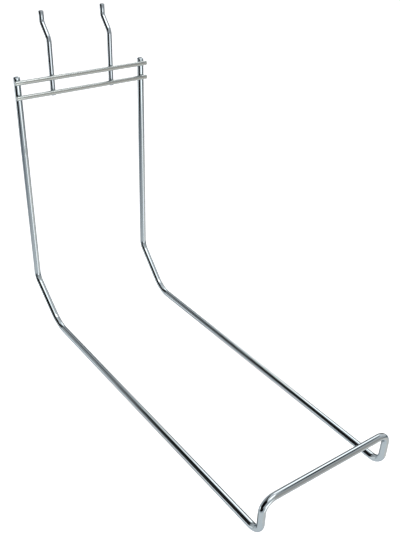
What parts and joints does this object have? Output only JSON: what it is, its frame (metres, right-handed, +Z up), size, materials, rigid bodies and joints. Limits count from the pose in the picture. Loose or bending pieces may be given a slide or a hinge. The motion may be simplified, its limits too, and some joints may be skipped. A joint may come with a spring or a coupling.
{
  "type": "pegboard wire rack",
  "caption": "Chromed wire cradle for a perforated wall panel: a bent frame with long level arms and a raised front bar, welded crossbars and peg hooks.",
  "frame": {"origin": "on the panel's face, midway between the holes that the hooks use", "axes": "+X to the right of a person facing the panel, +Y into the panel, +Z up"},
  "size_m": [0.17, 0.4753, 0.3688],
  "materials": {
    "frame_chrome": "bright chrome plate",
    "crossbar_chrome": "bright chrome plate",
    "hook_chrome": "bright chrome plate",
    "weld_chrome": "chrome plate over a weld bead, slightly dull"
  },
  "bodies": {
    "root": {"frame_wire": "frame_chrome", "upper_crossbar": "crossbar_chrome", "lower_crossbar": "crossbar_chrome", "left_peg_hook": "hook_chrome", "right_peg_hook": "hook_chrome", "weld_beads": "weld_chrome"}
  },
  "joints": []
}
